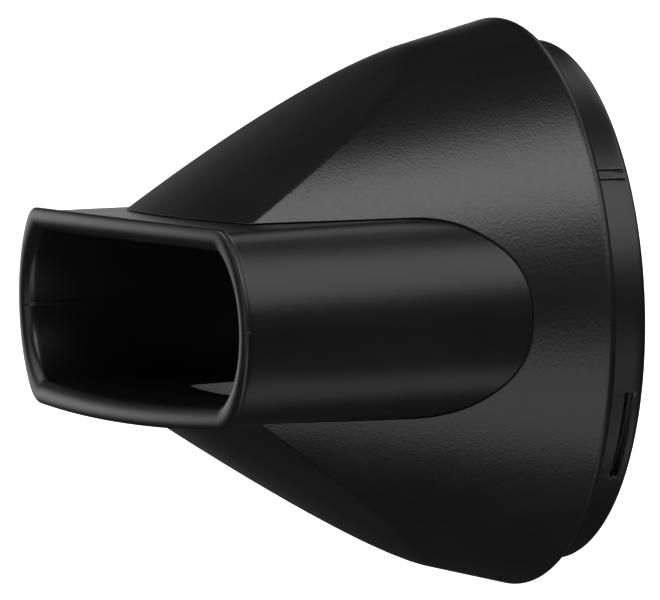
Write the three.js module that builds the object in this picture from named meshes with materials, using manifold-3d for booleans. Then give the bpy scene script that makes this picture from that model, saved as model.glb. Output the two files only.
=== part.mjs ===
// Styling nozzle of a hair dryer: a grained bell over a flat air duct, turning on a collar that clips
// onto the dryer's barrel. Millimetres, +Z up. The air flows along -Y: the collar's rear face is at
// y = 0 and the slot outlet is at the front, with the slot's width along X.
import * as THREE from 'three';
import { mergeVertices } from 'three/addons/utils/BufferGeometryUtils.js';
import Module from 'manifold-3d';

const wasm = await Module();
wasm.setup();

// ---- driving dimensions ---------------------------------------------------------------------------
const LENGTH = 48;              // collar's rear face to the middle of the outlet
const CLEARANCE = 0.3;          // gap between pieces that touch
const RUNNING_GAP = 0.4;        // gap between the collar and what turns on it
const SEGMENTS = 72;            // facets round every turned surface

// bell
const BELL_REAR_Y = -4.2;       // the bell's wide rear edge
const BELL_REAR_R = 29.7;
const BELL_SLOPE = 0.25;        // loss of radius per millimetre towards the front
const BELL_WALL = 2;
const BELL_EDGE_ROUND = 0.9;    // round on the wide rear edge
const WEDGE_FOOT_Y = -39.4;     // where the sloping faces reach the duct
const WEDGE_FOOT_Z = 10.5;
const WEDGE_SLOPE = 0.69;       // rise of the sloping faces per millimetre towards the rear

// flat duct
const DUCT_FRONT_HALF = { w: 32.8, h: 9.9 };
const DUCT_REAR_HALF = { w: 27.2, h: 10.4 };
const DUCT_REAR_Y = -11.4;
const DUCT_WALL = 2;
const DUCT_END_BULGE = 5.1;     // how far each end wall bows out
const DUCT_CORNER_R = 4;
const DUCT_CORNER_PULL = 0.065; // how far the corners draw in towards the rear, against the width
const DUCT_CROWN = { upper: 0.1, lower: 0.5 };  // rise of the long walls at mid-width
const BEAD_OUT = 0.4;           // bead round the outlet: height and depth
const BEAD_DEPTH = 1;
const FRONT_BOW_R = 385;        // plan radius of the outlet's front face

// funnel inside the bell, flange and round spigot
const FUNNEL_GAP = 1.2;         // air gap between the bell and the funnel
const FUNNEL_WALL = 1.4;
const FLANGE_R = 25.9;
const FLANGE_Y = [-11.8, -10];
const SPIGOT_R = 22.6;
const SPIGOT_BORE_R = 20.4;
const SPIGOT_END_Y = -5.7;

// retaining ring, in the spigot's groove
const RETAINER_R = [22.0, 23.7];
const RETAINER_Y = [-7.9, -7.1];
const RETAINER_GAP_DEG = 24;

// collar
const COLLAR_R = 27;
const COLLAR_NECK_R = 25.8;     // the part inside the bell
const COLLAR_NECK_Y = -6;
const COLLAR_FRONT_Y = -9.6;
const COLLAR_FLANGE_T = 1.3;
const SOCKET_R = 24.8;          // bore for the dryer's barrel
const SOCKET_DEPTH = 5.3;
const COLLAR_NECK_BORE_R = 24.05;
const COLLAR_EDGE = 0.6;        // chamfer on the rear edge, outside and inside
const SOCKET_EDGE = 0.3;

// wire spring in the collar's groove, and the windows over it
const WIRE_R = 0.5;
const SPRING_R = 25.1;          // radius of the wire's centre line
const SPRING_Y = -1.6;
const SPRING_GAP_DEG = 16;
const WINDOW_COUNT = 3;
const WINDOW_FIRST_DEG = -29;   // centre of the first window, from +X towards +Z
const WINDOW_SPAN_DEG = 22;
const WINDOW_WIDTH = 1.1;
const STRIP_WIDTH = 1.1;        // shallow strips between the windows
const STRIP_DEPTH = 0.3;
const STRIP_REAR_Y = -0.7;

// ---- solids ---------------------------------------------------------------------------------------
function toSolid(geometry) {
  const bare = geometry.clone();
  bare.deleteAttribute('normal');
  bare.deleteAttribute('uv');
  const merged = mergeVertices(bare, 1e-4);
  const source = merged.index.array;
  const triangles = [];
  for (let i = 0; i < source.length; i += 3) {
    const [a, b, c] = [source[i], source[i + 1], source[i + 2]];
    if (a !== b && b !== c && c !== a) triangles.push(a, b, c);
  }
  return new wasm.Manifold(new wasm.Mesh({
    numProp: 3,
    vertProperties: new Float32Array(merged.attributes.position.array),
    triVerts: new Uint32Array(triangles),
  }));
}

function toGeometry(solid) {
  const mesh = solid.getMesh();
  const geometry = new THREE.BufferGeometry();
  geometry.setAttribute('position', new THREE.BufferAttribute(mesh.vertProperties, 3));
  geometry.setIndex(new THREE.BufferAttribute(mesh.triVerts, 1));
  geometry.computeVertexNormals();
  return geometry;
}

// A turned solid about Y. The profile is a closed outline of [radius, y], going up its outer side.
function turned(profile) {
  const outline = [...profile, profile[0]].map(([r, y]) => new THREE.Vector2(r, y));
  return toSolid(new THREE.LatheGeometry(outline, SEGMENTS));
}

// A flat shape drawn in X and Z, made solid from y = rear to y = front. Its vertices can be bent after.
function plate(shape, rear, front, { steps = 1, curveSegments = 12, bend = null } = {}) {
  const geometry = new THREE.ExtrudeGeometry(shape, {
    depth: rear - front, steps, curveSegments, bevelEnabled: false,
  });
  geometry.rotateX(Math.PI / 2);
  geometry.translate(0, rear, 0);
  if (bend) {
    const position = geometry.attributes.position;
    const v = new THREE.Vector3();
    for (let i = 0; i < position.count; i += 1) {
      v.fromBufferAttribute(position, i);
      bend(v);
      position.setXYZ(i, v.x, v.y, v.z);
    }
  }
  return toSolid(geometry);
}

// A part of a ring in X and Z, between two radii and two angles in degrees.
function ringSector(inner, outer, fromDeg, toDeg) {
  const from = THREE.MathUtils.degToRad(fromDeg);
  const to = THREE.MathUtils.degToRad(toDeg);
  const shape = new THREE.Shape();
  shape.absarc(0, 0, outer, from, to, false);
  shape.absarc(0, 0, inner, to, from, true);
  return shape;
}

// ---- bell -----------------------------------------------------------------------------------------
const bellRadius = (y) => BELL_REAR_R + BELL_SLOPE * (y - BELL_REAR_Y);
const coneSecant = Math.hypot(1, BELL_SLOPE);
const wedgeSecant = Math.hypot(1, WEDGE_SLOPE);

// The bell's cone between its two sloping faces, set in by a distance measured square to its skin.
function bellForm(inset, rearY) {
  const front = WEDGE_FOOT_Y - 6;
  const r = (y) => bellRadius(y) - inset * coneSecant;
  const cone = turned([[0, front], [r(front), front], [r(rearY), rearY], [0, rearY]]);
  const z = (y) => WEDGE_FOOT_Z + WEDGE_SLOPE * (y - WEDGE_FOOT_Y) - inset * wedgeSecant;
  const start = Math.max(front - 1, WEDGE_FOOT_Y - (WEDGE_FOOT_Z - 1 - inset * wedgeSecant) / WEDGE_SLOPE);
  const side = new THREE.Shape([
    new THREE.Vector2(start, -z(start)),
    new THREE.Vector2(1, -z(1)),
    new THREE.Vector2(1, z(1)),
    new THREE.Vector2(start, z(start)),
  ]);
  const reach = 40;
  const prism = new THREE.ExtrudeGeometry(side, { depth: 2 * reach, bevelEnabled: false });
  prism.applyMatrix4(new THREE.Matrix4().makeBasis(
    new THREE.Vector3(0, 1, 0),
    new THREE.Vector3(0, 0, 1),
    new THREE.Vector3(1, 0, 0),
  ));
  prism.translate(-reach, 0, 0);
  return cone.intersect(toSolid(prism));
}

// ---- flat duct ------------------------------------------------------------------------------------
// Outline of the duct in X and Z: slightly crowned long walls, rounded corners and bowed end walls.
function slotShape({ w, h }, grow) {
  const halfW = w + grow;
  const halfH = h + grow;
  const corner = DUCT_CORNER_R + grow;
  const endR = (halfH ** 2 + DUCT_END_BULGE ** 2) / (2 * DUCT_END_BULGE);
  const endX = halfW - endR;
  const cornerX = endX + Math.sqrt((endR - corner) ** 2 - (halfH - corner) ** 2);
  const cornerZ = halfH - corner;
  const turn = Math.atan2(cornerZ, cornerX - endX);
  const shape = new THREE.Shape();
  shape.absarc(endX, 0, endR, -turn, turn, false);
  shape.absarc(cornerX, cornerZ, corner, turn, Math.PI / 2, false);
  shape.quadraticCurveTo(0, halfH + 2 * DUCT_CROWN.upper, -cornerX, halfH);
  shape.absarc(-cornerX, cornerZ, corner, Math.PI / 2, Math.PI - turn, false);
  shape.absarc(-endX, 0, endR, Math.PI - turn, Math.PI + turn, false);
  shape.absarc(-cornerX, -cornerZ, corner, Math.PI + turn, 1.5 * Math.PI, false);
  shape.quadraticCurveTo(0, -halfH - 2 * DUCT_CROWN.lower, cornerX, -halfH);
  shape.absarc(cornerX, -cornerZ, corner, -Math.PI / 2, -turn, false);
  return shape;
}

// A length of duct, narrowing towards the rear and with its front face bowed in plan.
function ductLength(grow, rear, front, bowed) {
  const { w, h } = DUCT_FRONT_HALF;
  const bend = (v) => {
    const t = (v.y + LENGTH) / (DUCT_REAR_Y + LENGTH);
    const bow = bowed ? v.x ** 2 / (2 * FRONT_BOW_R) : 0;
    v.x *= (1 + (DUCT_REAR_HALF.w / w - 1) * t) * (1 - DUCT_CORNER_PULL * t * (v.z / h) ** 4);
    v.z *= 1 + (DUCT_REAR_HALF.h / h - 1) * t;
    v.y += bow * Math.max(0, 1 - t);
  };
  return plate(slotShape({ w, h }, grow), rear, front, { steps: 4, curveSegments: 5, bend });
}

// ---- the pieces -----------------------------------------------------------------------------------
function makeBell() {
  const step = BELL_EDGE_ROUND * (1 - Math.SQRT1_2);
  const mouthR = COLLAR_R + RUNNING_GAP;
  const neckR = COLLAR_NECK_R + RUNNING_GAP;
  const neckY = COLLAR_NECK_Y - RUNNING_GAP;
  const flangeY = FLANGE_Y[0] - CLEARANCE;
  const blank = bellForm(0, BELL_REAR_Y - BELL_EDGE_ROUND).add(turned([
    [0, BELL_REAR_Y - BELL_EDGE_ROUND],
    [bellRadius(BELL_REAR_Y - BELL_EDGE_ROUND), BELL_REAR_Y - BELL_EDGE_ROUND],
    [bellRadius(BELL_REAR_Y) - step, BELL_REAR_Y - step],
    [bellRadius(BELL_REAR_Y) - BELL_EDGE_ROUND, BELL_REAR_Y],
    [0, BELL_REAR_Y],
  ]));
  const hollow = bellForm(BELL_WALL, flangeY + 0.1).add(turned([
    [0, flangeY],
    [neckR, flangeY],
    [neckR, neckY],
    [mouthR, neckY],
    [mouthR, 1],
    [0, 1],
  ]));
  const passage = ductLength(CLEARANCE, DUCT_REAR_Y + CLEARANCE, -LENGTH - 4, false);
  return blank.subtract(hollow).subtract(passage);
}

function makeDuct() {
  const bead = ductLength(BEAD_OUT, -LENGTH + BEAD_DEPTH, -LENGTH, true);
  const outer = ductLength(0, DUCT_REAR_Y, -LENGTH + BEAD_DEPTH / 2, true);
  const inner = ductLength(-DUCT_WALL, FLANGE_Y[0] - 0.6, -LENGTH - 4, false);
  const funnelOuter = bellForm(BELL_WALL + FUNNEL_GAP, FLANGE_Y[0] + 0.5);
  const funnelInner = bellForm(BELL_WALL + FUNNEL_GAP + FUNNEL_WALL, FLANGE_Y[0]);
  const spigot = turned([
    [0, FLANGE_Y[0]],
    [FLANGE_R, FLANGE_Y[0]],
    [FLANGE_R, FLANGE_Y[1]],
    [SPIGOT_R, FLANGE_Y[1]],
    [SPIGOT_R, RETAINER_Y[0] - CLEARANCE],
    [RETAINER_R[0] - CLEARANCE, RETAINER_Y[0] - CLEARANCE],
    [RETAINER_R[0] - CLEARANCE, RETAINER_Y[1] + CLEARANCE],
    [SPIGOT_R, RETAINER_Y[1] + CLEARANCE],
    [SPIGOT_R, SPIGOT_END_Y],
    [0, SPIGOT_END_Y],
  ]);
  const bore = turned([
    [0, FLANGE_Y[0] - 0.2],
    [SPIGOT_BORE_R + 2.2, FLANGE_Y[0] - 0.2],
    [SPIGOT_BORE_R, FLANGE_Y[1] - 0.2],
    [SPIGOT_BORE_R, 1],
    [0, 1],
  ]);
  return outer.add(bead).add(funnelOuter).add(spigot)
    .subtract(inner).subtract(funnelInner).subtract(bore);
}

function makeCollar() {
  const grooveR = SPRING_R + WIRE_R + CLEARANCE;
  const grooveHalf = WIRE_R + CLEARANCE;
  const neckBoreTop = COLLAR_FRONT_Y + COLLAR_FLANGE_T;
  const stripLength = STRIP_REAR_Y - COLLAR_NECK_Y + 1;
  let collar = turned([
    [SPIGOT_R + CLEARANCE, COLLAR_FRONT_Y],
    [COLLAR_NECK_R, COLLAR_FRONT_Y],
    [COLLAR_NECK_R, COLLAR_NECK_Y],
    [COLLAR_R, COLLAR_NECK_Y],
    [COLLAR_R, -COLLAR_EDGE],
    [COLLAR_R - COLLAR_EDGE, 0],
    [SOCKET_R + SOCKET_EDGE, 0],
    [SOCKET_R, -SOCKET_EDGE],
    [SOCKET_R, SPRING_Y + grooveHalf],
    [grooveR, SPRING_Y + grooveHalf],
    [grooveR, SPRING_Y - grooveHalf],
    [SOCKET_R, SPRING_Y - grooveHalf],
    [SOCKET_R, -SOCKET_DEPTH],
    [COLLAR_NECK_BORE_R, -SOCKET_DEPTH],
    [COLLAR_NECK_BORE_R, neckBoreTop],
    [SPIGOT_R + CLEARANCE, neckBoreTop],
  ]);
  const pitch = 360 / WINDOW_COUNT;
  for (let i = 0; i < WINDOW_COUNT; i += 1) {
    const windowDeg = WINDOW_FIRST_DEG + i * pitch;
    const opening = ringSector(grooveR - 0.5, COLLAR_R + 1,
      windowDeg - WINDOW_SPAN_DEG / 2, windowDeg + WINDOW_SPAN_DEG / 2);
    collar = collar.subtract(plate(opening, SPRING_Y + WINDOW_WIDTH / 2, SPRING_Y - WINDOW_WIDTH / 2));
    const strip = new THREE.BoxGeometry(2, stripLength, STRIP_WIDTH);
    strip.translate(COLLAR_R - STRIP_DEPTH + 1, STRIP_REAR_Y - stripLength / 2, 0);
    strip.rotateY(THREE.MathUtils.degToRad(-(windowDeg + pitch / 2)));
    collar = collar.subtract(toSolid(strip));
  }
  return collar;
}

function makeRetainer() {
  const middle = WINDOW_FIRST_DEG + 180;
  const shape = ringSector(RETAINER_R[0], RETAINER_R[1],
    middle + RETAINER_GAP_DEG / 2, middle + 360 - RETAINER_GAP_DEG / 2);
  return plate(shape, RETAINER_Y[1], RETAINER_Y[0], { curveSegments: SEGMENTS / 2 });
}

class SpringLine extends THREE.Curve {
  getPoint(t, target = new THREE.Vector3()) {
    const middle = WINDOW_FIRST_DEG + 180;
    const deg = middle + SPRING_GAP_DEG / 2 + t * (360 - SPRING_GAP_DEG);
    const a = THREE.MathUtils.degToRad(deg);
    return target.set(SPRING_R * Math.cos(a), SPRING_Y, SPRING_R * Math.sin(a));
  }
}

function makeSpring() {
  const section = new THREE.Shape();
  section.absarc(0, 0, WIRE_R, 0, 2 * Math.PI, false);
  return toSolid(new THREE.ExtrudeGeometry(section, {
    extrudePath: new SpringLine(), steps: SEGMENTS, curveSegments: 5, bevelEnabled: false,
  }));
}

// ---- the assembly ---------------------------------------------------------------------------------
const grained = new THREE.MeshStandardMaterial({ color: 0x141414, roughness: 0.55, metalness: 0 });
const satin = new THREE.MeshStandardMaterial({ color: 0x121212, roughness: 0.38, metalness: 0 });
const steel = new THREE.MeshStandardMaterial({ color: 0x9a9a9a, roughness: 0.3, metalness: 1 });

const nozzle = new THREE.Group();
const pieces = [
  ['bell_shell', makeBell(), grained],
  ['air_duct', makeDuct(), satin],
  ['collar_ring', makeCollar(), satin],
  ['retaining_ring', makeRetainer(), satin],
  ['grip_spring', makeSpring(), steel],
];
for (const [name, solid, material] of pieces) {
  const mesh = new THREE.Mesh(toGeometry(solid), material);
  mesh.name = name;
  nozzle.add(mesh);
}

export default nozzle;
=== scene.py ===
# Looks of a hair dryer's styling nozzle: a grained bell over a flat air duct, on a collar that clips
# onto the barrel. Lengths are in millimetres until a mesh is made, and Blender's are metres.
import math

import bmesh
import bpy
import numpy as np
from mathutils import Matrix, Vector


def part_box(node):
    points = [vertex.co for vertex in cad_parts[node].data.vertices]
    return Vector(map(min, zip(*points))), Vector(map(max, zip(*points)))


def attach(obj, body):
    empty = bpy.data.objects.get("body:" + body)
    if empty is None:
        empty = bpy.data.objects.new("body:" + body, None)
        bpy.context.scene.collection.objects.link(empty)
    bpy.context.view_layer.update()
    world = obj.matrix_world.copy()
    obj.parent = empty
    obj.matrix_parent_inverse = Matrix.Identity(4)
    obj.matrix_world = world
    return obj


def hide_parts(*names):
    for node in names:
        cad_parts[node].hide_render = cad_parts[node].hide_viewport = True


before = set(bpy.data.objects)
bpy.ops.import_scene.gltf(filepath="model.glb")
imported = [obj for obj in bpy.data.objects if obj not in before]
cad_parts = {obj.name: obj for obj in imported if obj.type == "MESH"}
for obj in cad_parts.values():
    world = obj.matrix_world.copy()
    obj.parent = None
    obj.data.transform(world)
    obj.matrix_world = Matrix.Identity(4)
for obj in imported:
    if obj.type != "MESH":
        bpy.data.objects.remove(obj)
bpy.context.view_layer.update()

MM = 0.001
TAU = 2 * math.pi


def cad_corner(node, corner, axis):
    """One coordinate of a CAD node's box in millimetres: corner 0 is the lowest, 1 the highest."""
    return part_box(node)[corner]["xyz".index(axis)] / MM


# ---- driving dimensions ---------------------------------------------------------------------------
LENGTH = -cad_corner("air_duct", 0, "y")
COLLAR_R = cad_corner("collar_ring", 1, "x")
COLLAR_FRONT_Y = cad_corner("collar_ring", 0, "y")
BELL_REAR_Y = cad_corner("bell_shell", 1, "y")
SPIGOT_END_Y = cad_corner("air_duct", 1, "y")
RETAINER_Y = (cad_corner("retaining_ring", 0, "y"), cad_corner("retaining_ring", 1, "y"))

CLEARANCE = 0.3                 # room behind the duct, and on either side of the retaining ring

# bell
BELL_REAR_R = 29.7
BELL_SLOPE = 0.25
BELL_WALL = 2
BELL_EDGE_ROUND = 0.9
BELL_MOUTH_R = 27.4
BELL_MOUTH_ROUND = 0.25
BELL_NECK_R = 26.2
BELL_NECK_Y = -6.4
BELL_HOLLOW_Y = -12.1           # rear end of the cone-shaped hollow
WEDGE_FOOT_Y = -39.4
WEDGE_FOOT_Z = 10.5
WEDGE_SLOPE = 0.69
WEDGE_CROWN_R = 150             # the sloping faces are crowned across, by this radius
CREASE_BLEND = (0.3, 0.8)       # softness of the crease, at its foot and at its rear end
WEDGE_LEAST_Z = 0.3             # the sloping faces level out here, before they would meet
BELL_LIP = 0.2                  # thickness at which the bell's thin front edge is rounded off

# flat duct
DUCT_FRONT_HALF_W = 32.8
DUCT_REAR_HALF_W = 27.2
DUCT_REAR_Y = -11.4
DUCT_END_BULGE = 5.1
DUCT_WALL = 2
# The upper and the lower wall at the outlet: half height, corner radius, and rise at mid-width.
UPPER_WALL = {"h": 9.9, "corner": 4, "crown": 0.1}
LOWER_WALL = {"h": 9.8, "corner": 5, "crown": 0.6}
DUCT_REAR_GROWTH = 1.05         # height at the rear against the height at the outlet
DUCT_CORNER_PULL = 0.065        # how far the corners draw in towards the rear, against the width
PASSAGE_GAP = 0.07              # between the duct and the bell, seen as a thin line
BEAD_OUT = 0.4
BEAD_DEPTH = 0.8
RIM_MIDDLE = -0.5               # the outlet's rim is rounded over, and foremost at this offset
RIM_DEPTH_OUT = 0.4
RIM_DEPTH_IN = 1.2
FRONT_BOW_R = 385
SEAM_RIDGE = 0.06               # mould seam along the two end walls, inside
SEAM_HALF_WIDTH = 0.1

# funnel, flange and spigot
FUNNEL_SKIN = 3.2               # depth of the funnel's outside and inside under the bell's skin
FUNNEL_BORE = 4.6
FUNNEL_FRONT_Y = -44.5
FLANGE_R = 25.9
FLANGE_Y = (-11.8, -10)
SPIGOT_R = 22.6
SPIGOT_BORE_R = 20.4
GROOVE_R = 21.7
GROOVE_Y = (RETAINER_Y[0] - CLEARANCE, RETAINER_Y[1] + CLEARANCE)
FLANGE_EDGE = 0.2               # how far the edges of the flange and of the spigot are cut back
SPIGOT_EDGE = 0.35

# collar, retaining ring and spring
COLLAR_NECK_R = 25.8
COLLAR_NECK_Y = -6
COLLAR_NECK_BORE_R = 24.05
COLLAR_FLANGE_REAR_Y = -8.3
COLLAR_BORE_R = 22.9
SOCKET_R = 24.8
SOCKET_DEPTH = 5.3
WIRE_GROOVE_R = 25.9
WIRE_GROOVE_Y = (-2.2, -1.0)
RETAINER_R = (22.0, 23.7)
RETAINER_GAP_DEG = 24
WIRE_R = 0.5
SPRING_R = 25.1
SPRING_Y = -1.6
SPRING_GAP_DEG = 16
WINDOW_COUNT = 3
WINDOW_FIRST_DEG = -29
WINDOW_SPAN_DEG = 22
WINDOW_WIDTH = 0.85
TONGUE_WIDTH = 1.1              # spring tongues between the windows, each between two fine slits
SLIT_WIDTH = 0.09
SLIT_DEPTH = 0.22
TONGUE_REAR_Y = -0.7
TONGUE_SETBACK = 0.4            # from the collar's front shoulder to the slits
SLOT_LIP = 0.1                  # round along the edges of windows and slits
SLOT_CORNER = 0.3

# meshes
WELD = 0.003                    # rows of a grid that come this close are joined
MERGE = 0.006                   # and so are points that a boolean leaves this close,
SLIVER = 0.004                  # after which edges shorter than this are taken out


# ---- mesh helpers ---------------------------------------------------------------------------------
def new_object(name, mesh):
    obj = bpy.data.objects.new(name, mesh)
    bpy.context.scene.collection.objects.link(obj)
    return obj


def grid_object(name, points, closed=False):
    """A closed skin over a grid of points, given as rows x columns x 3 in millimetres.

    The columns always run round. The rows either run round too or end in two flat caps."""
    rows, columns = points.shape[:2]
    bm = bmesh.new()
    verts = [[bm.verts.new(Vector(p) * MM) for p in row] for row in points.tolist()]
    for i in range(rows if closed else rows - 1):
        here, there = verts[i], verts[(i + 1) % rows]
        for j in range(columns):
            k = (j + 1) % columns
            bm.faces.new((here[j], here[k], there[k], there[j]))
    if not closed:
        for row in (verts[0], verts[-1]):
            centre = bm.verts.new(sum((v.co for v in row), Vector()) / columns)
            for j in range(columns):
                bm.faces.new((row[j], row[(j + 1) % columns], centre))
    bmesh.ops.remove_doubles(bm, verts=bm.verts, dist=WELD * MM)
    bmesh.ops.recalc_face_normals(bm, faces=bm.faces)
    mesh = bpy.data.meshes.new(name)
    bm.to_mesh(mesh)
    bm.free()
    return new_object(name, mesh)


def combine(obj, other, operation):
    """Applies a boolean to obj, cleans up the seams that it leaves, and removes the other object."""
    modifier = obj.modifiers.new("combine", "BOOLEAN")
    modifier.operation = operation
    modifier.solver = "EXACT"
    modifier.object = other
    evaluated = obj.evaluated_get(bpy.context.evaluated_depsgraph_get())
    mesh = bpy.data.meshes.new_from_object(evaluated)
    obj.modifiers.clear()
    obj.data = mesh
    bpy.data.objects.remove(other)
    bm = bmesh.new()
    bm.from_mesh(mesh)
    bmesh.ops.remove_doubles(bm, verts=bm.verts, dist=MERGE * MM)
    bmesh.ops.dissolve_degenerate(bm, edges=bm.edges, dist=SLIVER * MM)
    bm.to_mesh(mesh)
    bm.free()


def join(objects):
    """Puts the meshes of several objects into the first one."""
    bm = bmesh.new()
    for obj in objects:
        bm.from_mesh(obj.data)
    bm.to_mesh(objects[0].data)
    bm.free()
    for obj in objects[1:]:
        bpy.data.objects.remove(obj)
    return objects[0]


def smooth(obj, sharp_deg=32):
    obj.data.shade_smooth()
    obj.data.set_sharp_from_angle(angle=math.radians(sharp_deg))


def spread(start, end, count, power=1.0, last=True):
    """Values from start to end, closer together at start where power is above 1. Ends may be arrays."""
    t = np.linspace(0, 1, count, endpoint=last) ** power
    start, end = np.broadcast_arrays(start, end)
    return [start + (end - start) * k for k in t]


def rounded(profile, steps=5):
    """A closed outline of (r, y, round) corners as a list of (r, y), with each corner rounded."""
    outline = []
    count = len(profile)
    for i, (r, y, radius) in enumerate(profile):
        corner = np.array((r, y), float)
        if radius == 0:
            outline.append(corner)
            continue
        before = np.array(profile[i - 1][:2]) - corner
        after = np.array(profile[(i + 1) % count][:2]) - corner
        before /= np.hypot(*before)
        after /= np.hypot(*after)
        half = math.acos(np.clip(before @ after, -1, 1)) / 2
        centre = corner + (before + after) / np.hypot(*(before + after)) * radius / math.sin(half)
        start = corner + before * radius / math.tan(half) - centre
        end = corner + after * radius / math.tan(half) - centre
        sweep = math.pi - 2 * half
        for k in range(steps + 1):
            u = k / steps
            a, b = math.sin((1 - u) * sweep), math.sin(u * sweep)
            outline.append(centre + (start * a + end * b) / math.sin(sweep))
    return outline


def fine(outline, longest):
    """The closed outline with its long sides cut into shorter steps."""
    result = []
    for i, here in enumerate(outline):
        there = outline[(i + 1) % len(outline)]
        steps = max(1, math.ceil(np.hypot(*(there - here)) / longest))
        result += [here + (there - here) * k / steps for k in range(steps)]
    return result


def turned(name, profile, columns=288, closed=True):
    """A solid turned about Y from an outline of (r, y)."""
    angle = np.linspace(0, TAU, columns, endpoint=False)
    return grid_object(name, polar_grid(angle, profile), closed)


def polar_grid(angle, rows):
    """Grid of points from rows of (r, y), where each is a number or one value for each angle."""
    points = []
    for r, y in rows:
        r, y = np.broadcast_to(r, angle.shape), np.broadcast_to(y, angle.shape)
        points.append(np.stack([r * np.cos(angle), y, r * np.sin(angle)], -1))
    return np.array(points)


# ---- form of the bell and the funnel --------------------------------------------------------------
def cone_radius(y, inset=0):
    return BELL_REAR_R + BELL_SLOPE * (y - BELL_REAR_Y) - inset * math.hypot(1, BELL_SLOPE)


def wedge_height(y, inset=0):
    return WEDGE_FOOT_Z + WEDGE_SLOPE * (y - WEDGE_FOOT_Y) - inset * math.hypot(1, WEDGE_SLOPE)


def crease_line(angle, inset=0):
    """Where the cone meets the sloping face, for each angle round the axis."""
    s = np.abs(np.sin(angle))
    cone_0, wedge_0 = cone_radius(0, inset), wedge_height(0, inset)
    return (cone_0 * s - wedge_0) / (WEDGE_SLOPE - BELL_SLOPE * s)


def smooth_step(value, low, high):
    t = np.clip((value - low) / (high - low), 0, 1)
    return t * t * (3 - 2 * t)


def skin_radius(angle, y, inset=0):
    """Radius of the bell's skin, or of a surface set in from it, with the crease blended."""
    s, c = np.abs(np.sin(angle)), np.cos(angle)
    cone = cone_radius(y, inset)
    plane = np.maximum(wedge_height(y, inset), WEDGE_LEAST_Z)
    height = plane + np.maximum(cone ** 2 - plane ** 2, 0) / (2 * WEDGE_CROWN_R)
    wedge = 2 * height / (s + np.sqrt(s * s + 2 * c * c * height / WEDGE_CROWN_R))
    rear_end = crease_line(math.pi / 2)
    along = smooth_step(crease_line(angle), WEDGE_FOOT_Y, rear_end)
    blend = CREASE_BLEND[0] + (CREASE_BLEND[1] - CREASE_BLEND[0]) * along ** 2
    overlap = np.maximum(blend - np.abs(cone - wedge), 0) / blend
    return np.minimum(cone, wedge) - overlap ** 2 * blend / 4


def form_columns():
    """Angles round the axis, closest together where the bell meets the duct's corners."""
    spans = ((0, 18, 16), (18, 34, 48), (34, 90, 40))
    quarter = np.concatenate([np.linspace(a, b, n, endpoint=False) for a, b, n in spans])
    upper = np.concatenate([quarter, [90], 180 - quarter[:0:-1]])
    return np.radians(np.concatenate([upper, upper + 180]))


def find_level(low, high, value):
    """The y between low and high where value(y) rises through zero, for each angle."""
    for _ in range(40):
        middle = (low + high) / 2
        above = value(middle) > 0
        high = np.where(above, middle, high)
        low = np.where(above, low, middle)
    return (low + high) / 2


# ---- form of the duct -----------------------------------------------------------------------------
def slot_outline(grow, seam=0.0):
    """The duct's outline at the outlet as x and z, grown outward, with a seam on its end walls."""
    quarters = []
    for wall in (UPPER_WALL, LOWER_WALL):
        half_h = wall["h"] + grow
        corner = wall["corner"] + grow
        end_r = (half_h ** 2 + DUCT_END_BULGE ** 2) / (2 * DUCT_END_BULGE)
        end_x = DUCT_FRONT_HALF_W + grow - end_r
        corner_x = end_x + math.sqrt((end_r - corner) ** 2 - (half_h - corner) ** 2)
        corner_z = half_h - corner
        turn = math.atan2(corner_z, corner_x - end_x)
        near_seam = np.array([0, 0.35, 0.7, 1.1, 1.8, 3]) * SEAM_HALF_WIDTH / end_r
        a = np.concatenate([near_seam, np.linspace(near_seam[-1], turn, 16)[1:]])
        b = np.linspace(turn, math.pi / 2, 12)[1:]
        across = np.linspace(corner_x, 0, 22)[1:]
        x = np.concatenate([end_x + end_r * np.cos(a), corner_x + corner * np.cos(b), across])
        z = np.concatenate([
            end_r * np.sin(a),
            corner_z + corner * np.sin(b),
            half_h + wall["crown"] * (1 - (across / corner_x) ** 2),
        ])
        x += seam * np.exp(-(z / SEAM_HALF_WIDTH) ** 2)
        quarters.append((x, z))
    (ux, uz), (lx, lz) = quarters
    x = np.concatenate([ux, -ux[-2::-1], -lx[1:], lx[-2:0:-1]])
    z = np.concatenate([uz, uz[-2::-1], -lz[1:], -lz[-2:0:-1]])
    return x, z


def duct_taper(x, z, t):
    """The outlet's outline made narrower and higher, with t from 0 at the outlet to 1 at the rear."""
    wide = 1 + (DUCT_REAR_HALF_W / DUCT_FRONT_HALF_W - 1) * t
    pull = 1 - DUCT_CORNER_PULL * t * (z / UPPER_WALL["h"]) ** 4
    return x * wide * pull, z * (1 + (DUCT_REAR_GROWTH - 1) * t)


def duct_row(y, grow, seam=0.0, bowed=True):
    """The duct's section at y. Its front is bowed in plan, and its corners draw in to the rear."""
    x, z = slot_outline(grow, seam)
    t = (y + LENGTH) / (LENGTH + DUCT_REAR_Y)
    bow = x ** 2 / (2 * FRONT_BOW_R) * max(0, 1 - t) if bowed else 0 * x
    x, z = duct_taper(x, z, t)
    return np.stack([x, y + bow, z], -1)


def duct_reach(angle, y, grow):
    """Distance from the axis to the duct's grown skin, for each angle at its own y."""
    x_front, z_front = slot_outline(grow)
    reach = []
    for a, y_here in zip(angle, np.broadcast_to(y, angle.shape)):
        x, z = duct_taper(x_front, z_front, (y_here + LENGTH) / (LENGTH + DUCT_REAR_Y))
        reach.append(np.interp(a, np.arctan2(z, x), np.hypot(x, z), period=TAU))
    return np.array(reach)


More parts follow.
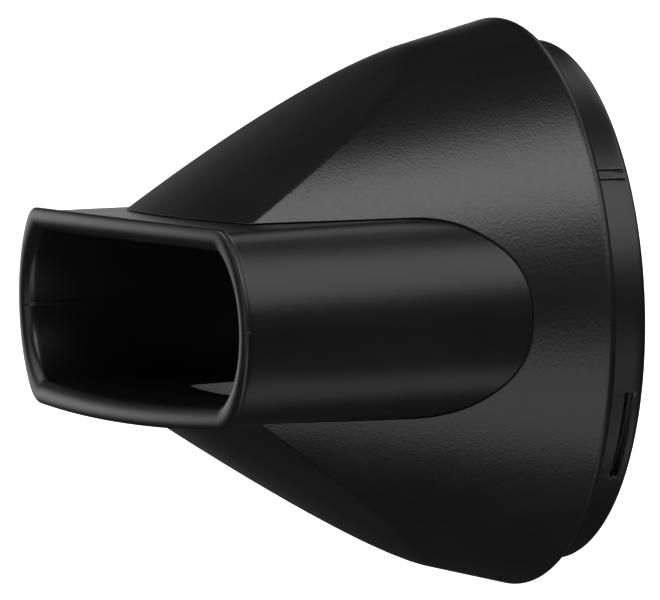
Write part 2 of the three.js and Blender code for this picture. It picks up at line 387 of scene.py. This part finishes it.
# ---- the pieces -----------------------------------------------------------------------------------
def make_bell():
    angle = form_columns()
    passage_end = DUCT_REAR_Y + CLEARANCE
    step = 0.001                # keeps two rows at one place apart in y

    def passage(y):
        return duct_reach(angle, y, PASSAGE_GAP)

    def hollow(y):
        return skin_radius(angle, y, BELL_WALL)

    # Where the skin and the hollow come out of the passage, and where the lip between them begins.
    front = np.full(angle.shape, -LENGTH + 2.0)
    skin_end = np.full(angle.shape, BELL_REAR_Y - 2)
    hollow_end = np.full(angle.shape, BELL_HOLLOW_Y)
    trim = find_level(front, skin_end, lambda y: skin_radius(angle, y) - passage(y))
    inner = find_level(front, hollow_end, lambda y: hollow(y) - passage(y))
    ahead = 0.1
    rise = (skin_radius(angle, trim + ahead) - passage(trim + ahead)) / ahead
    longest_lip = 0.9
    lip_y = trim + np.minimum(BELL_LIP / rise, longest_lip)
    crease = np.maximum(crease_line(angle), lip_y + 0.02)
    inner = np.maximum(inner, lip_y + 0.1)
    inner_crease = np.clip(crease_line(angle, BELL_WALL), inner, BELL_HOLLOW_Y)

    round_y = BELL_REAR_Y - BELL_EDGE_ROUND
    round_r = cone_radius(round_y, BELL_EDGE_ROUND)
    cone_tilt = -math.atan(BELL_SLOPE)
    flat = 0.2
    rows = [
        (BELL_MOUTH_R + BELL_MOUTH_ROUND, BELL_REAR_Y),
        (BELL_MOUTH_R + BELL_MOUTH_ROUND + flat, BELL_REAR_Y),
    ]
    for a in np.linspace(math.pi / 2, cone_tilt, 12):
        rows.append((round_r + BELL_EDGE_ROUND * math.cos(a), round_y + BELL_EDGE_ROUND * math.sin(a)))
    skin_start = round_y + BELL_EDGE_ROUND * math.sin(cone_tilt)
    gather = 1.7                # how closely the rows gather at the crease
    skin_ys = spread(crease, skin_start - 0.15, 30, gather)[::-1]
    skin_ys += spread(crease, lip_y, 26, gather)[1:]
    rows += [(skin_radius(angle, y), y) for y in skin_ys]
    corner = (passage(trim), trim)
    far = (passage(lip_y), lip_y)
    near = rows[-1]
    for u in (0.2, 0.4, 0.6, 0.8):
        weights = ((1 - u) ** 2, 2 * u * (1 - u), u ** 2)
        curve = [sum(w * p[k] for w, p in zip(weights, (near, corner, far))) for k in (0, 1)]
        rows.append(tuple(curve))
    rows += [(passage(y), y) for y in spread(lip_y, inner, 5)]
    inner_ys = spread(inner, inner_crease, 8)[1:] + spread(inner_crease, BELL_HOLLOW_Y, 6)[1:]
    rows += [(np.maximum(hollow(y), passage(y)), y) for y in inner_ys]
    rows += [(np.maximum(BELL_NECK_R, passage(y)), y) for y in (BELL_HOLLOW_Y + step, passage_end)]
    rows += [
        (BELL_NECK_R, passage_end + step),
        (BELL_NECK_R, BELL_NECK_Y),
        (BELL_MOUTH_R, BELL_NECK_Y),
        (BELL_MOUTH_R, BELL_REAR_Y - BELL_MOUTH_ROUND),
        (BELL_MOUTH_R + 0.28 * BELL_MOUTH_ROUND, BELL_REAR_Y - 0.28 * BELL_MOUTH_ROUND),
    ]
    bell = grid_object("grained_bell", polar_grid(angle, rows), closed=True)
    smooth(bell, sharp_deg=40)
    return bell


def duct_pipe():
    """The flat pipe with its beaded outlet, open at both ends."""
    front = -LENGTH
    bead_end = front + BEAD_DEPTH
    stations = [(y, 0) for y in np.linspace(DUCT_REAR_Y, bead_end + 0.6, 12)]
    # The bead's rear flank, with a small fillet at its foot and a round on its edge.
    stations += [(bead_end + 0.2, 0), (bead_end + 0.1, 0.03), (bead_end + 0.03, 0.12)]
    stations += [(bead_end - 0.02, BEAD_OUT - 0.12), (bead_end - 0.12, BEAD_OUT - 0.02)]
    stations.append((bead_end - 0.2, BEAD_OUT))
    # The rim, as two quarters of ellipses that meet at its foremost line.
    for a in np.linspace(0, math.pi / 2, 9):
        out = RIM_MIDDLE + (BEAD_OUT - RIM_MIDDLE) * math.cos(a)
        stations.append((front + RIM_DEPTH_OUT * (1 - math.sin(a)), out))
    for a in np.linspace(math.pi / 2, math.pi, 12)[1:]:
        out = RIM_MIDDLE + (RIM_MIDDLE + DUCT_WALL) * math.cos(a)
        stations.append((front + RIM_DEPTH_IN * (1 - math.sin(a)), out))
    stations += [(y, -DUCT_WALL) for y in np.linspace(front + 1.6, DUCT_REAR_Y, 13)]
    rows = []
    for y, grow in stations:
        inside = grow < -DUCT_WALL / 2
        on_bead = grow > BEAD_OUT / 2 or y < front + 0.2
        seam = -SEAM_RIDGE if inside else (SEAM_RIDGE * 0.7 if on_bead else 0)
        rows.append(duct_row(y, grow, seam))
    return grid_object("flat_air_duct", np.array(rows), closed=True)


def funnel_rows(angle, inset, front, rear):
    """Rows of a surface set in from the bell's skin, gathered at its creases."""
    margin = 0.3
    gather = 1.5
    crease = np.clip(crease_line(angle, inset), front + margin, rear - margin)
    ys = spread(crease, front, 16, gather)[::-1] + spread(crease, rear, 16, gather)[1:]
    return [(skin_radius(angle, y, inset), y) for y in ys]


def make_duct():
    angle = form_columns()
    duct = duct_pipe()
    flange_front, flange_rear = FLANGE_Y
    shell_rows = funnel_rows(angle, FUNNEL_SKIN, FUNNEL_FRONT_Y, flange_front)
    shell_rows += [
        (FLANGE_R - FLANGE_EDGE, flange_front),
        (FLANGE_R, flange_front + FLANGE_EDGE),
        (FLANGE_R, flange_rear - FLANGE_EDGE),
        (FLANGE_R - FLANGE_EDGE, flange_rear),
        (SPIGOT_R, flange_rear),
        (SPIGOT_R, GROOVE_Y[0]),
        (GROOVE_R, GROOVE_Y[0]),
        (GROOVE_R, GROOVE_Y[1]),
        (SPIGOT_R, GROOVE_Y[1]),
        (SPIGOT_R, SPIGOT_END_Y - SPIGOT_EDGE),
        (SPIGOT_R - 0.1, SPIGOT_END_Y - 0.1),
        (SPIGOT_R - SPIGOT_EDGE, SPIGOT_END_Y),
    ]
    shell = grid_object("funnel", polar_grid(angle, shell_rows))
    inside = [duct_row(y, -DUCT_WALL / 2, bowed=False) for y in (-LENGTH - 4, flange_front - 0.1)]
    combine(shell, grid_object("passage", np.array(inside)), "DIFFERENCE")
    combine(duct, shell, "UNION")
    core_rows = funnel_rows(angle, FUNNEL_BORE, FUNNEL_FRONT_Y, flange_front)
    taper = flange_rear - 0.2
    core_rows += [
        (SPIGOT_BORE_R + 2, flange_front),
        (SPIGOT_BORE_R + 0.25, taper - 0.25),
        (SPIGOT_BORE_R + 0.06, taper - 0.06),
        (SPIGOT_BORE_R, taper + 0.2),
        (SPIGOT_BORE_R, SPIGOT_END_Y - SPIGOT_EDGE),
        (SPIGOT_BORE_R + 0.1, SPIGOT_END_Y - 0.1),
        (SPIGOT_BORE_R + SPIGOT_EDGE, SPIGOT_END_Y),
        (SPIGOT_BORE_R + SPIGOT_EDGE, SPIGOT_END_Y + 1),
    ]
    combine(duct, grid_object("core", polar_grid(angle, core_rows)), "DIFFERENCE")
    smooth(duct)
    return duct


def slot_cutter(deg, y, half_arc, half_width, floor_r):
    """Cuts a slot into the collar's outside at an angle, with slightly rounded edges."""
    lip = min(SLOT_LIP, half_width)
    corner = min(half_width, half_arc, SLOT_CORNER)
    turns = np.radians(np.linspace(0, 90, 5))
    outline = []
    for quarter in range(4):
        side = ((1, 1), (-1, 1), (-1, -1), (1, -1))[quarter]
        for t in turns + quarter * math.pi / 2:
            a = side[0] * (half_arc - corner) + corner * math.cos(t)
            b = side[1] * (half_width - corner) + corner * math.sin(t)
            outline.append((a, b, math.cos(t), math.sin(t)))
    a, b, out_a, out_b = np.array(outline).T
    levels = [(floor_r, 0), (COLLAR_R - lip, 0)]
    for t in np.radians((30, 60, 80)):
        levels.append((COLLAR_R - lip + lip * math.sin(t), lip * (1 - math.cos(t))))
    levels.append((COLLAR_R + 0.6, lip))
    rows = []
    for r, grow in levels:
        angle = math.radians(deg) + (a + grow * out_a) / COLLAR_R
        rows.append(np.stack([r * np.cos(angle), y + b + grow * out_b, r * np.sin(angle)], -1))
    return grid_object("slot", np.array(rows))


def make_collar():
    groove_front, groove_rear = WIRE_GROOVE_Y
    profile = [
        (COLLAR_BORE_R, COLLAR_FRONT_Y, 0.2),
        (COLLAR_NECK_R, COLLAR_FRONT_Y, 0.2),
        (COLLAR_NECK_R, COLLAR_NECK_Y, 0.15),
        (COLLAR_R, COLLAR_NECK_Y, 0.25),
        (COLLAR_R, 0, 0.65),
        (SOCKET_R, 0, 0.3),
        (SOCKET_R, groove_rear, 0.1),
        (WIRE_GROOVE_R, groove_rear, 0),
        (WIRE_GROOVE_R, groove_front, 0),
        (SOCKET_R, groove_front, 0.1),
        (SOCKET_R, -SOCKET_DEPTH, 0.12),
        (COLLAR_NECK_BORE_R, -SOCKET_DEPTH, 0.12),
        (COLLAR_NECK_BORE_R, COLLAR_FLANGE_REAR_Y, 0.12),
        (COLLAR_BORE_R, COLLAR_FLANGE_REAR_Y, 0.12),
    ]
    collar = turned("clip_on_collar", fine(rounded(profile), 0.8), columns=360)
    pitch = 360 / WINDOW_COUNT
    slit_front = COLLAR_NECK_Y + TONGUE_SETBACK
    slit_middle = (slit_front + TONGUE_REAR_Y) / 2
    slit_half_length = (TONGUE_REAR_Y - slit_front) / 2
    slit_floor = COLLAR_R - SLIT_DEPTH
    cutters = []
    for i in range(WINDOW_COUNT):
        deg = WINDOW_FIRST_DEG + i * pitch
        half_span = math.radians(WINDOW_SPAN_DEG / 2) * COLLAR_R
        cutters.append(slot_cutter(deg, SPRING_Y, half_span, WINDOW_WIDTH / 2, WIRE_GROOVE_R - 0.3))
        for side in (-1, 1):
            slit_deg = deg + pitch / 2 + side * math.degrees(TONGUE_WIDTH / 2 / COLLAR_R)
            slit = slot_cutter(slit_deg, slit_middle, SLIT_WIDTH / 2, slit_half_length, slit_floor)
            cutters.append(slit)
    combine(collar, join(cutters), "DIFFERENCE")
    smooth(collar)
    return collar


def make_retainer():
    """A flat open ring with rounded edges and rounded ends."""
    inner_r, outer_r = RETAINER_R
    y0, y1 = RETAINER_Y
    edge = 0.2
    corners = ((inner_r, y0), (outer_r, y0), (outer_r, y1), (inner_r, y1))
    profile = rounded([(r, y, edge) for r, y in corners])
    middle = np.array(((inner_r + outer_r) / 2, (y0 + y1) / 2))
    first = math.radians(WINDOW_FIRST_DEG + 180 + RETAINER_GAP_DEG / 2)
    sweep = TAU - math.radians(RETAINER_GAP_DEG)
    end_turn = 0.5 / outer_r
    # Angle along the ring and size of its section, which shrinks towards both ends.
    stations = [(0, 0.55), (end_turn * 0.4, 0.85)]
    stations += [(a, 1) for a in np.linspace(end_turn, sweep - end_turn, 160)]
    stations += [(sweep - end_turn * 0.4, 0.85), (sweep, 0.55)]
    rows = []
    for along, size in stations:
        a = first + along
        section = [middle + (p - middle) * size for p in profile]
        rows.append([(r * math.cos(a), y, r * math.sin(a)) for r, y in section])
    retainer = grid_object("open_retaining_ring", np.array(rows))
    smooth(retainer)
    return retainer


def make_spring():
    """Round wire bent to an open ring, with its ends rounded off."""
    first = math.radians(WINDOW_FIRST_DEG + 180 + SPRING_GAP_DEG / 2)
    sweep = TAU - math.radians(SPRING_GAP_DEG)
    end_turn = WIRE_R / SPRING_R
    ends = np.radians(np.linspace(8, 90, 6))
    stations = [(end_turn * (1 - math.cos(t)), math.sin(t)) for t in ends]
    stations += [(a, 1) for a in np.linspace(end_turn, sweep - end_turn, 220)[1:-1]]
    stations += [(sweep - end_turn * (1 - math.cos(t)), math.sin(t)) for t in ends[::-1]]
    around = np.linspace(0, TAU, 20, endpoint=False)
    rows = []
    for along, size in stations:
        a = first + along
        r = SPRING_R + WIRE_R * size * np.cos(around)
        y = SPRING_Y + WIRE_R * size * np.sin(around)
        rows.append(np.stack([r * math.cos(a), y, r * math.sin(a)], -1))
    spring = grid_object("grip_wire", np.array(rows))
    smooth(spring, sharp_deg=60)
    return spring


# ---- materials ------------------------------------------------------------------------------------
PLASTIC_IOR = 1.5


def add_node(tree, kind, settings=(), inputs=()):
    """A new node. Inputs are constants, or the output sockets to link from."""
    node = tree.nodes.new(kind)
    for key, value in dict(settings).items():
        setattr(node, key, value)
    for key, value in dict(inputs).items():
        if isinstance(value, bpy.types.NodeSocket):
            tree.links.new(value, node.inputs[key])
        else:
            node.inputs[key].default_value = value
    return node


def noise(tree, where, size_mm, detail=2.0, roughness=0.5):
    """A noise whose features have about that size."""
    settings = {"Vector": where, "Scale": 1 / (size_mm * MM), "Detail": detail, "Roughness": roughness}
    return add_node(tree, "ShaderNodeTexNoise", inputs=settings).outputs["Fac"]


def remap(tree, value, low, high, from_low=0.0, from_high=1.0):
    """Runs from low to high as value goes from from_low to from_high, and stays there past them."""
    inputs = {"Value": value, "From Min": from_low, "From Max": from_high}
    inputs.update({"To Min": low, "To Max": high})
    return add_node(tree, "ShaderNodeMapRange", inputs=inputs).outputs["Result"]


def two_colours(tree, value, dark, light):
    """A blend of two plain colours. The mix node's colour sockets are inputs 6 and 7 and output 2."""
    inputs = {0: value, 6: (*dark, 1), 7: (*light, 1)}
    return add_node(tree, "ShaderNodeMix", {"data_type": "RGBA"}, inputs).outputs[2]


def moulded_plastic(name, dark, light, roughness, unevenness, grain_mm, grain_depth):
    """Black moulded plastic with a fine surface grain and faint uneven gloss."""
    material = bpy.data.materials.new(name)
    material.use_nodes = True
    tree = material.node_tree
    shader = tree.nodes["Principled BSDF"]
    where = add_node(tree, "ShaderNodeTexCoord").outputs["Object"]
    flow = noise(tree, where, 9, detail=3)
    speck = noise(tree, where, grain_mm * 2.5, detail=1)
    colour = two_colours(tree, remap(tree, flow, 0, 1, 0.3, 0.7), dark, light)
    tree.links.new(colour, shader.inputs["Base Color"])
    gloss = add_node(tree, "ShaderNodeMath", {"operation": "ADD"}, {
        0: remap(tree, flow, roughness - unevenness, roughness + unevenness, 0.25, 0.75),
        1: remap(tree, speck, -unevenness, unevenness, 0.3, 0.7),
    })
    tree.links.new(gloss.outputs[0], shader.inputs["Roughness"])
    height = noise(tree, where, grain_mm, detail=1)
    bump = add_node(tree, "ShaderNodeBump", inputs={
        "Height": height, "Distance": grain_depth * MM, "Strength": 1.0,
    })
    tree.links.new(bump.outputs["Normal"], shader.inputs["Normal"])
    shader.inputs["IOR"].default_value = PLASTIC_IOR
    return material


def spring_steel():
    material = bpy.data.materials.new("drawn_spring_wire")
    material.use_nodes = True
    tree = material.node_tree
    shader = tree.nodes["Principled BSDF"]
    where = add_node(tree, "ShaderNodeTexCoord").outputs["Object"]
    stain = noise(tree, where, 2.5, detail=3)
    dull, bright = (0.36, 0.355, 0.35), (0.5, 0.5, 0.5)
    colour = two_colours(tree, remap(tree, stain, 0, 1, 0.35, 0.65), dull, bright)
    tree.links.new(colour, shader.inputs["Base Color"])
    tree.links.new(remap(tree, stain, 0.3, 0.42), shader.inputs["Roughness"])
    scratch = noise(tree, where, 0.12, detail=2)
    bump = add_node(tree, "ShaderNodeBump", inputs={"Height": scratch, "Distance": 0.004 * MM})
    tree.links.new(bump.outputs["Normal"], shader.inputs["Normal"])
    shader.inputs["Metallic"].default_value = 1
    return material


def finish_piece(obj, body, node, material):
    obj.data.materials.clear()
    obj.data.materials.append(material)
    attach(obj, body)
    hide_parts(node)


grained = moulded_plastic(
    "grained_black_plastic", (0.003, 0.003, 0.0032), (0.0048, 0.0048, 0.005),
    roughness=0.33, unevenness=0.012, grain_mm=0.3, grain_depth=0.022,
)
satin = moulded_plastic(
    "satin_black_plastic", (0.003, 0.003, 0.0032), (0.0045, 0.0045, 0.0047),
    roughness=0.3, unevenness=0.008, grain_mm=0.8, grain_depth=0.005,
)
steel = spring_steel()

finish_piece(make_bell(), "nozzle", "bell_shell", grained)
finish_piece(make_duct(), "nozzle", "air_duct", satin)
finish_piece(make_retainer(), "nozzle", "retaining_ring", satin)
finish_piece(make_collar(), "collar", "collar_ring", satin)
finish_piece(make_spring(), "collar", "grip_spring", steel)


# ---- studio ---------------------------------------------------------------------------------------
FLOOR_DROP = 0.12               # metres from the axis down to the floor
FLOOR_REACH = 15
FLOOR_COLOUR = (0.85, 0.85, 0.85, 1)
FLOOR_GLOW = 0.9                # keeps the floor as plain white as the backdrop

# Soft panels of light far away: middle azimuth and half width, lowest and highest elevation, softness
# of the edge, all in degrees, and brightness. Azimuth 0 is in front of the outlet and 90 along +X.
PANELS = (
    (138, 38, 19, 55, 6, 2.0),      # the camera's side, towards the rear
    (76, 30, 36, 76, 7, 5.0),       # the camera's side, high up
    (72, 40, -60, -16, 8, 1.6),     # the camera's side, from below
    (150, 25, -62, -44, 6, 0.8),    # rear, from below
    (272, 30, -8, 9, 7, 1.2),       # the far side, level with the nozzle
    (15, 28, -12, 22, 8, 0.8),      # in front of the outlet
    (325, 28, 20, 62, 8, 1.6),      # the far side, towards the front
    (215, 20, 30, 62, 8, 1.1),      # the far side, towards the rear
)
AMBIENT = 0.03
BACKDROP = 1.6                  # the plain white behind the floor, which gives no light


def make_world():
    world = bpy.data.worlds.new("studio")
    world.use_nodes = True
    tree = world.node_tree
    tree.nodes.clear()

    def math_node(operation, a, b=0.0):
        return add_node(tree, "ShaderNodeMath", {"operation": operation}, {0: a, 1: b}).outputs[0]

    def edge(value, dark, light):
        inputs = {"Value": value, "From Min": dark, "From Max": light, "To Min": 0, "To Max": 1}
        settings = {"interpolation_type": "SMOOTHSTEP", "clamp": True}
        return add_node(tree, "ShaderNodeMapRange", settings, inputs).outputs["Result"]

    where = add_node(tree, "ShaderNodeTexCoord").outputs["Generated"]
    axes = add_node(tree, "ShaderNodeSeparateXYZ", inputs={"Vector": where}).outputs
    elevation = math_node("ARCSINE", axes["Z"])
    total = None
    for azimuth, half_width, low, high, softness, brightness in PANELS:
        a, soft = math.radians(azimuth), math.radians(softness)
        along = math_node("ADD", math_node("MULTIPLY", axes["X"], math.sin(a)),
                          math_node("MULTIPLY", axes["Y"], -math.cos(a)))
        across = math_node("ADD", math_node("MULTIPLY", axes["X"], math.cos(a)),
                           math_node("MULTIPLY", axes["Y"], math.sin(a)))
        off = math_node("ABSOLUTE", math_node("ARCTAN2", across, along))
        side = edge(off, math.radians(half_width) + soft, math.radians(half_width) - soft)
        above = edge(elevation, math.radians(low) - soft, math.radians(low) + soft)
        below = edge(elevation, math.radians(high) + soft, math.radians(high) - soft)
        panel = math_node("MULTIPLY", math_node("MULTIPLY", side, above), below)
        panel = math_node("MULTIPLY", panel, brightness)
        total = panel if total is None else math_node("ADD", total, panel)
    total = math_node("ADD", total, AMBIENT)
    seen = add_node(tree, "ShaderNodeLightPath").outputs["Is Camera Ray"]
    total = math_node("MAXIMUM", total, math_node("MULTIPLY", seen, BACKDROP))
    background = add_node(tree, "ShaderNodeBackground", inputs={"Strength": total})
    output = add_node(tree, "ShaderNodeOutputWorld")
    tree.links.new(background.outputs[0], output.inputs["Surface"])
    bpy.context.scene.world = world


def make_floor():
    signs = ((-1, -1), (1, -1), (1, 1), (-1, 1))
    corners = [(x * FLOOR_REACH, y * FLOOR_REACH, -FLOOR_DROP) for x, y in signs]
    mesh = bpy.data.meshes.new("floor")
    mesh.from_pydata(corners, [], [(0, 1, 2, 3)])
    floor = new_object("floor", mesh)
    material = bpy.data.materials.new("pale_floor")
    material.use_nodes = True
    shader = material.node_tree.nodes["Principled BSDF"]
    shader.inputs["Base Color"].default_value = FLOOR_COLOUR
    shader.inputs["Roughness"].default_value = 1
    shader.inputs["Specular IOR Level"].default_value = 0
    shader.inputs["Emission Color"].default_value = (1, 1, 1, 1)
    shader.inputs["Emission Strength"].default_value = FLOOR_GLOW
    mesh.materials.append(material)
    floor.visible_glossy = False


# The camera stands where the picture was taken from, and aims at the middle of the nozzle's length.
VIEW_AZIMUTH = 68.7
VIEW_ELEVATION = 3.4
VIEW_ROLL = -1.3
VIEW_DISTANCE = 1.7
VIEW_SPAN = 0.06827             # width of the picture at the object
AIM = Vector((-0.83, -LENGTH / 2, 0.84)) * MM


def make_camera():
    a, e, roll = (math.radians(v) for v in (VIEW_AZIMUTH, VIEW_ELEVATION, VIEW_ROLL))
    back = Vector((math.sin(a) * math.cos(e), -math.cos(a) * math.cos(e), math.sin(e)))
    level = Vector((0, 0, 1)).cross(back).normalized()
    upright = back.cross(level)
    right = level * math.cos(roll) + upright * math.sin(roll)
    up = upright * math.cos(roll) - level * math.sin(roll)
    data = bpy.data.cameras.new("camera")
    data.lens = data.sensor_width * VIEW_DISTANCE / VIEW_SPAN
    data.clip_start = 0.1
    data.clip_end = 100
    camera = bpy.data.objects.new("camera", data)
    bpy.context.scene.collection.objects.link(camera)
    place = Matrix((right, up, back)).transposed().to_4x4()
    place.translation = AIM + back * VIEW_DISTANCE
    camera.matrix_world = place
    bpy.context.scene.camera = camera


make_world()
make_floor()
make_camera()
bpy.context.scene.view_settings.view_transform = "Standard"
